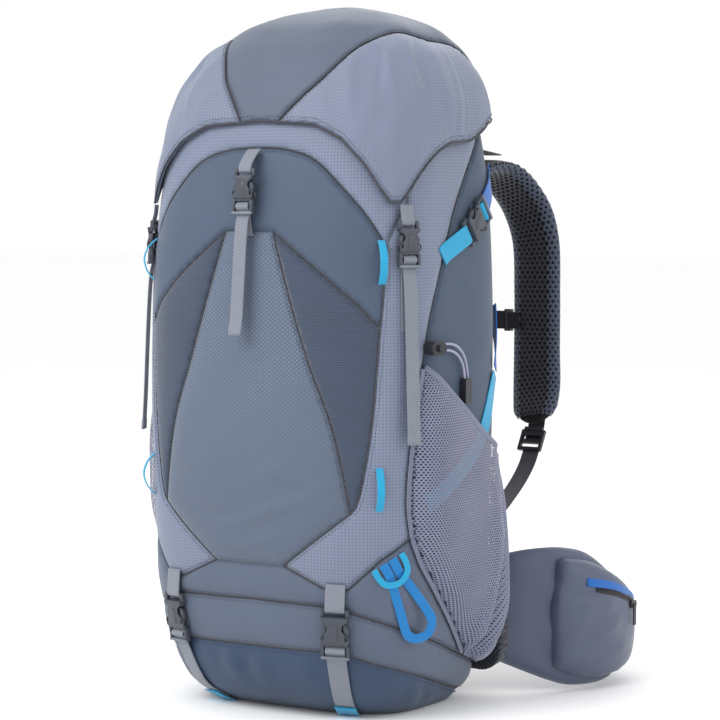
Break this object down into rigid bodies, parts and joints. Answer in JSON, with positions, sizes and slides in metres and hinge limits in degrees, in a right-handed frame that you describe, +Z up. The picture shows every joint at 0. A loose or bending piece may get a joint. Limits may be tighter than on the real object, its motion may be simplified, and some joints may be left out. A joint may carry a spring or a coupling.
{
  "type": "hiking backpack",
  "caption": "Trekking pack with a buckled top lid, stretch front pocket, mesh side pockets, internal frame, padded shoulder straps, sternum strap and hip belt.",
  "frame": {"origin": "on the flat underside of the base fabric, on the pack's middle plane", "axes": "+Z up along the pack, -Y out of the front with the stretch pocket, +Y towards the wearer, +X towards the wearer's left"},
  "size_m": [0.4606, 0.5208, 0.7],
  "materials": {
    "lid_fabric": "matt ripstop",
    "panel_fabric": "matt ripstop",
    "light_fabric": "light ripstop",
    "base_fabric": "heavy weave",
    "stretch_fabric": "ribbed stretch",
    "mesh_fabric": "open stretch mesh",
    "pad_mesh": "spacer mesh over foam",
    "belt_fabric": "padded fabric",
    "webbing_grey": "woven webbing",
    "webbing_blue": "woven webbing",
    "loop_cyan": "woven",
    "cord": "braided cord",
    "plastic_dark": "satin",
    "plastic_grey": "satin",
    "frame_plastic": "satin",
    "frame_metal": "satin",
    "spring_wire": "satin"
  },
  "bodies": {
    "pack": {"front_panel": "panel_fabric", "side_panel_left": "panel_fabric", "side_panel_right": "panel_fabric", "base_panel": "base_fabric", "back_panel": "panel_fabric", "collar": "light_fabric", "compartment_divider": "light_fabric", "stretch_pocket": "stretch_fabric", "side_pocket_left": "mesh_fabric", "side_pocket_right": "mesh_fabric", "frame_sheet": "frame_plastic", "frame_hoop": "spring_wire", "frame_stay": "frame_metal", "back_pad": "pad_mesh", "lumbar_pad": "pad_mesh", "shoulder_strap_left": "pad_mesh", "shoulder_strap_right": "pad_mesh", "harness_webbing": "webbing_grey", "strap_ladder_locks": "plastic_dark", "haul_loop": "webbing_blue", "bag_sockets": "plastic_dark", "socket_webbing": "webbing_grey", "anchor_webbing": "webbing_grey", "gear_loops": "loop_cyan", "axe_keeper": "loop_cyan", "toggle_body": "plastic_dark", "keeper_cord_upper": "cord", "keeper_cord_lower": "cord", "cord_pull": "plastic_dark"},
    "lid": {"lid_pocket": "lid_fabric", "lid_zip": "light_fabric", "lid_sockets": "plastic_dark", "lid_corner_webbing": "webbing_grey"},
    "lid_zip_pull": {"lid_zip_slider": "plastic_dark"},
    "lid_clip_left": {"lid_tongue_left": "plastic_grey", "lid_strap_tail_left": "webbing_grey"},
    "lid_clip_right": {"lid_tongue_right": "plastic_grey", "lid_strap_tail_right": "webbing_grey"},
    "front_clip": {"front_tongue": "plastic_grey", "front_strap_tail": "webbing_grey"},
    "base_clip_left": {"base_tongue_left": "plastic_grey"},
    "base_clip_right": {"base_tongue_right": "plastic_grey"},
    "side_clip_left": {"side_tongue_left": "plastic_grey"},
    "side_clip_right": {"side_tongue_right": "plastic_grey"},
    "sternum_strap": {"sternum_sliders": "plastic_dark", "sternum_webbing": "webbing_grey", "sternum_socket": "plastic_dark"},
    "sternum_clip": {"sternum_tongue": "plastic_grey"},
    "belt_left": {"hip_wing_left": "belt_fabric", "hip_pocket_left": "belt_fabric", "hip_webbing_left": "webbing_grey", "hip_socket": "plastic_dark"},
    "belt_right": {"hip_wing_right": "belt_fabric", "hip_pocket_right": "belt_fabric", "hip_webbing_right": "webbing_grey"},
    "hip_clip": {"hip_tongue": "plastic_grey"},
    "hip_zip_pull_left": {"hip_zip_slider_left": "plastic_dark"},
    "hip_zip_pull_right": {"hip_zip_slider_right": "plastic_dark"},
    "axe_loop": {"axe_loop": "webbing_blue"},
    "toggle_button": {"toggle_button": "plastic_grey"}
  },
  "joints": [
    {"name": "lid_hinge", "type": "hinge", "parent": "pack", "child": "lid", "pos_m": [0, 0.118, 0.6], "axis": [-1, 0, 0], "range_deg": [0, 90]},
    {"name": "lid_zip_slide", "type": "slide", "parent": "lid", "child": "lid_zip_pull", "axis": [-1, 0, 0], "range_m": [0, 0.176]},
    {"name": "lid_release_left", "type": "slide", "parent": "pack", "child": "lid_clip_left", "axis": [0.0304, -0.0137, -0.9994], "range_m": [0, 0.026]},
    {"name": "lid_release_right", "type": "slide", "parent": "pack", "child": "lid_clip_right", "axis": [-0.0304, -0.0137, -0.9994], "range_m": [0, 0.026]},
    {"name": "base_release_left", "type": "slide", "parent": "pack", "child": "base_clip_left", "axis": [-0.0682, 0.1508, -0.9862], "range_m": [0, 0.026]},
    {"name": "base_release_right", "type": "slide", "parent": "pack", "child": "base_clip_right", "axis": [0.0682, 0.1508, -0.9862], "range_m": [0, 0.026]},
    {"name": "side_release_left", "type": "slide", "parent": "pack", "child": "side_clip_left", "axis": [-0.0707, 0.821, 0.5665], "range_m": [0, 0.026]},
    {"name": "side_release_right", "type": "slide", "parent": "pack", "child": "side_clip_right", "axis": [0.0707, 0.821, 0.5665], "range_m": [0, 0.026]},
    {"name": "front_release", "type": "slide", "parent": "pack", "child": "front_clip", "axis": [0, -0.0777, -0.997], "range_m": [0, 0.026]},
    {"name": "sternum_height", "type": "slide", "parent": "pack", "child": "sternum_strap", "axis": [0, 0, 1], "range_m": [-0.03, 0.03]},
    {"name": "sternum_release", "type": "slide", "parent": "sternum_strap", "child": "sternum_clip", "axis": [-1, 0, 0], "range_m": [0, 0.026]},
    {"name": "hip_wing_left_swing", "type": "hinge", "parent": "pack", "child": "belt_left", "pos_m": [0.152, 0.158, 0.06], "axis": [0, 0, -1], "range_deg": [0, 50]},
    {"name": "hip_wing_right_swing", "type": "hinge", "parent": "pack", "child": "belt_right", "pos_m": [-0.152, 0.158, 0.06], "axis": [0, 0, 1], "range_deg": [0, 50]},
    {"name": "hip_release", "type": "slide", "parent": "belt_right", "child": "hip_clip", "axis": [-1, 0, 0], "range_m": [0, 0.026]},
    {"name": "hip_zip_left", "type": "slide", "parent": "belt_left", "child": "hip_zip_pull_left", "axis": [0, -1, 0], "range_m": [0, 0.06]},
    {"name": "hip_zip_right", "type": "slide", "parent": "belt_right", "child": "hip_zip_pull_right", "axis": [0, -1, 0], "range_m": [0, 0.06]},
    {"name": "axe_loop_swing", "type": "hinge", "parent": "pack", "child": "axe_loop", "pos_m": [0.14355, -0.08, 0.15], "axis": [-0.5284, -0.7011, -0.4788], "range_deg": [0, 110]},
    {"name": "toggle_press", "type": "slide", "parent": "pack", "child": "toggle_button", "axis": [-0.9915, 0.1289, -0.0194], "range_m": [0, 0.003], "stiffness_N_per_m": 300}
  ],
  "couplings": [
    {"joint": "hip_wing_right_swing", "follows": "hip_wing_left_swing", "ratio": 1}
  ]
}
